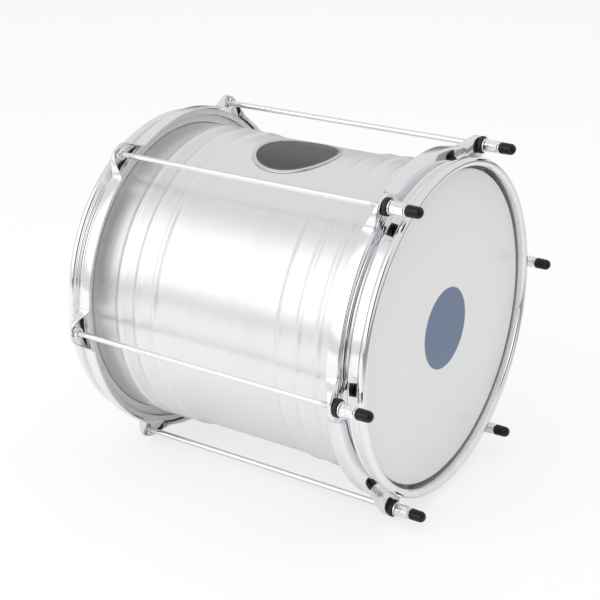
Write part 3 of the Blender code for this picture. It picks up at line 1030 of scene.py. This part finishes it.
class DRUM_OT_nuts(bpy.types.Operator):
    """Builds the washers, tension nuts and caps on the front ears"""

    bl_idname = "drum.nuts"
    bl_label = "Nuts, washers and caps"

    def execute(self, context):
        settings = context.scene.drum_hardware
        bore = settings.rod_diameter / 2 + SEAT_GAP
        nodes = ("cushion_washer", "flat_washer", "tension_nut", "rod_cap")
        spans = {node: reach_of(f"{node}_1") for node in nodes}
        cushion_length, washer_length, nut_length, cap_length = [far - near for near, far in spans.values()]
        cushion = washer_mesh("rubber_cushion", settings.cushion_diameter, cushion_length, bore, 0.0009)
        washer = washer_mesh("steel_washer", settings.washer_diameter, washer_length, bore, 0.00035)
        nut = nut_mesh("hexagon_nut", settings.nut_flats, nut_length, bore, 0.0012)
        cap = cap_mesh(settings.cap_diameter, cap_length, bore, 0.0027)
        washer_zinc = zinc_plate("washer_zinc", tinted(settings.steel, 0.95), washer_length)
        nut_zinc = zinc_plate("nut_zinc", settings.steel, nut_length)
        parts = (
            ("cushion_washer", "rubber_cushion", cushion, black_rubber(), "front_rim", "black_rubber"),
            ("flat_washer", "steel_washer", washer, washer_zinc, "front_rim", "washer_steel"),
            ("tension_nut", "hexagon_nut", nut, nut_zinc, "nut", "nut_steel"),
            ("rod_cap", "dipped_cap", cap, black_vinyl(settings), "front_rim", "black_vinyl"),
        )
        for lug in range(LUGS):
            number = lug + 1
            for node, name, mesh, finish, body, slot in parts:
                near, far = spans[node]
                rider = f"nut_{number}" if body == "nut" else body
                # A cap is made from its mouth down, the others round their middle
                place = at_lug(lug, near if node == "rod_cap" else (near + far) / 2)
                add_piece(f"{name}_{number}", mesh, finish, rider, f"{node}_{number}", place)
        return {"FINISHED"}


def studio_floor(colour):
    """Pale floor: white to the eye, takes the drum's shadow, and in front of the drum is darker to metal,
    as painted shade that the metal reflects.
    """
    f = Finish("pale_floor")
    mirror = f.light_path("Is Glossy Ray")
    # Mask of the floor in front of the drum, where metal is shown the floor in painted shade
    front = f.ease(f.y, -0.95, -0.22, 1.0, 0.0)
    speck = f.noise(f.place, 40.0, 3.0)
    # Painted shade: to glossy rays the floor's colour in front of the drum is darkened, so that metal
    # reflects a dark floor there
    mirrored_floor_shade = f.shades(mirror * front, colour, 1.0, 0.35)
    f.set(base_color=mirrored_floor_shade, roughness=0.85 + (speck - 0.5) * 0.1)
    glow = f.node("ShaderNodeEmission", {}, {"Color": (1.0, 1.0, 1.0), "Strength": 1.0})
    # Share of plain white in what the eye sees, and in what metal shows of the floor beside and behind
    seen = f.light_path("Is Camera Ray") * 0.72 + mirror * (1.0 - front) * 0.25
    mixed = f.node("ShaderNodeMixShader", {}, {0: seen, 1: Flow(f, f.shader.outputs[0]), 2: glow})
    f.feed(f.tree.nodes["Material Output"].inputs["Surface"], mixed)
    return f.material


def toward(azimuth, height):
    """Unit direction at an azimuth from +Y toward +X and a height angle, both in degrees."""
    turn, rise = math.radians(azimuth), math.radians(height)
    return (math.sin(turn) * math.cos(rise), math.cos(turn) * math.cos(rise), math.sin(rise))


class Studio(Graph):
    """The room round the drum, with soft shapes in it. Their angles are in degrees."""

    def __init__(self, world):
        super().__init__(world.node_tree)
        self.here = self.node("ShaderNodeTexCoord", output="Generated")
        self.height = self.parts(self.here)[2]

    def patch(self, azimuth, height, inner, outer):
        """1 within an angle of a direction, easing to 0 at a wider one."""
        near = self.cosine(self.here, toward(azimuth, height))
        return self.ease(near, math.cos(math.radians(outer)), math.cos(math.radians(inner)))

    def between(self, value, outer, inner):
        """0 where a sine is that of the outer angle, easing to 1 at the inner one."""
        return self.ease(value, math.sin(math.radians(outer)), math.sin(math.radians(inner)))

    def curtain(self, azimuth, inner, outer, low, high):
        """1 on a tall strip round an azimuth and between two heights, easing to 0 beside it."""
        ahead = self.cosine(self.here, toward(azimuth, 0))
        beside = abs(self.cosine(self.here, toward(azimuth + 90, 0)))
        slim = self.between(beside, outer, inner)
        bottom = self.between(self.height, low - 12, low)
        top = self.between(self.height, high + 12, high)
        return slim * bottom * top * self.ease(ahead, 0.0, 0.1)


def studio_world(scene):
    """Soft studio: white to the eye, and to metal a room with a bright screen and darker gaps."""
    world = bpy.data.worlds.new("studio")
    world.use_nodes = True
    scene.world = world
    g = Studio(world)
    screen = g.patch(-74, 28, 14, 40) * g.ease(g.height, 0.0, 0.2) * 0.95
    wide_gap = g.curtain(-128, 5, 18, 8, 48) * 0.76
    thin_gap = g.curtain(-78, 1, 5, 10, 50) * 0.30
    low_gap = g.patch(62, -2, 6, 26) * 0.55
    room = 0.82 + screen - (wide_gap + thin_gap + low_gap)
    camera = g.light_path("Is Camera Ray")
    mirror = g.light_path("Is Glossy Ray")
    strength = camera + (1.0 - camera) * (mirror * room + (1.0 - mirror) * 0.85)
    background = world.node_tree.nodes["Background"]
    g.feed(background.inputs["Strength"], strength)
    g.feed(background.inputs["Color"], (1.0, 1.0, 1.0))


def add_lamp(scene, name, place, aim, size, power):
    """Soft square lamp at a place, turned to an aim point. Metal shows the room and no lamp in it."""
    data = bpy.data.lights.new(name, "AREA")
    data.shape = "SQUARE"
    data.size = size
    data.energy = power
    lamp = bpy.data.objects.new(name, data)
    scene.collection.objects.link(lamp)
    lamp.location = place
    lamp.visible_glossy = False
    lamp.rotation_euler = (Vector(aim) - Vector(place)).to_track_quat("-Z", "Y").to_euler()


class DRUM_OT_stage(bpy.types.Operator):
    """Sets the pale floor, the soft lights and the camera"""

    bl_idname = "drum.stage"
    bl_label = "Stage"

    def execute(self, context):
        scene = context.scene
        settings = scene.drum_stage
        scene.view_settings.view_transform = "Standard"
        bm = bmesh.new()
        bmesh.ops.create_grid(bm, x_segments=1, y_segments=1, size=settings.floor_size / 2)
        mesh = bpy.data.meshes.new("floor")
        bm.to_mesh(mesh)
        bm.free()
        mesh.materials.append(studio_floor(settings.floor))
        floor = bpy.data.objects.new("floor", mesh)
        floor.location = (0.0, 0.0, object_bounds()[0][2] - 0.0002)
        scene.collection.objects.link(floor)
        floor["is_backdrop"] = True
        studio_world(scene)
        add_lamp(scene, "key", place=(-1.6, 1.0, 1.5), aim=AXIS_POINT, size=1.4, power=16.0)
        add_lamp(scene, "top", place=(0.2, -0.3, 2.2), aim=AXIS_POINT, size=2.0, power=12.0)
        data = bpy.data.cameras.new("camera")
        data.lens = settings.lens
        data.sensor_width = 36.0
        camera = bpy.data.objects.new("camera", data)
        scene.collection.objects.link(camera)
        tip = Matrix.Rotation(math.pi / 2 - settings.elevation, 4, "X")
        turn = Matrix.Rotation(settings.azimuth, 4, "Z") @ tip
        turn = turn @ Matrix.Rotation(settings.roll, 4, "Z")
        camera.matrix_world = Matrix.Translation(settings.place) @ turn
        scene.camera = camera
        return {"FINISHED"}


class DRUM_PT_panel(bpy.types.Panel):
    bl_label = "Repinique"
    bl_idname = "DRUM_PT_panel"
    bl_space_type = "VIEW_3D"
    bl_region_type = "UI"
    bl_category = "Drum"

    def draw(self, context):
        for operator in OPERATORS:
            self.layout.operator(operator.bl_idname)


OPERATORS = (
    DRUM_OT_shell,
    DRUM_OT_badge,
    DRUM_OT_heads,
    DRUM_OT_hoops,
    DRUM_OT_rods,
    DRUM_OT_nuts,
    DRUM_OT_stage,
)


def register():
    for group in SETTINGS.values():
        bpy.utils.register_class(group)
    for name, group in SETTINGS.items():
        setattr(bpy.types.Scene, name, PointerProperty(type=group))
    for item in (*OPERATORS, DRUM_PT_panel):
        bpy.utils.register_class(item)


def unregister():
    for item in (DRUM_PT_panel, *reversed(OPERATORS)):
        bpy.utils.unregister_class(item)
    for name, group in SETTINGS.items():
        delattr(bpy.types.Scene, name)
        bpy.utils.unregister_class(group)


def main():
    register()
    bpy.ops.drum.shell()
    bpy.ops.drum.badge()
    bpy.ops.drum.heads()
    bpy.ops.drum.hoops()
    bpy.ops.drum.rods()
    bpy.ops.drum.nuts()
    bpy.ops.drum.stage()


if __name__ == "__main__":
    main()
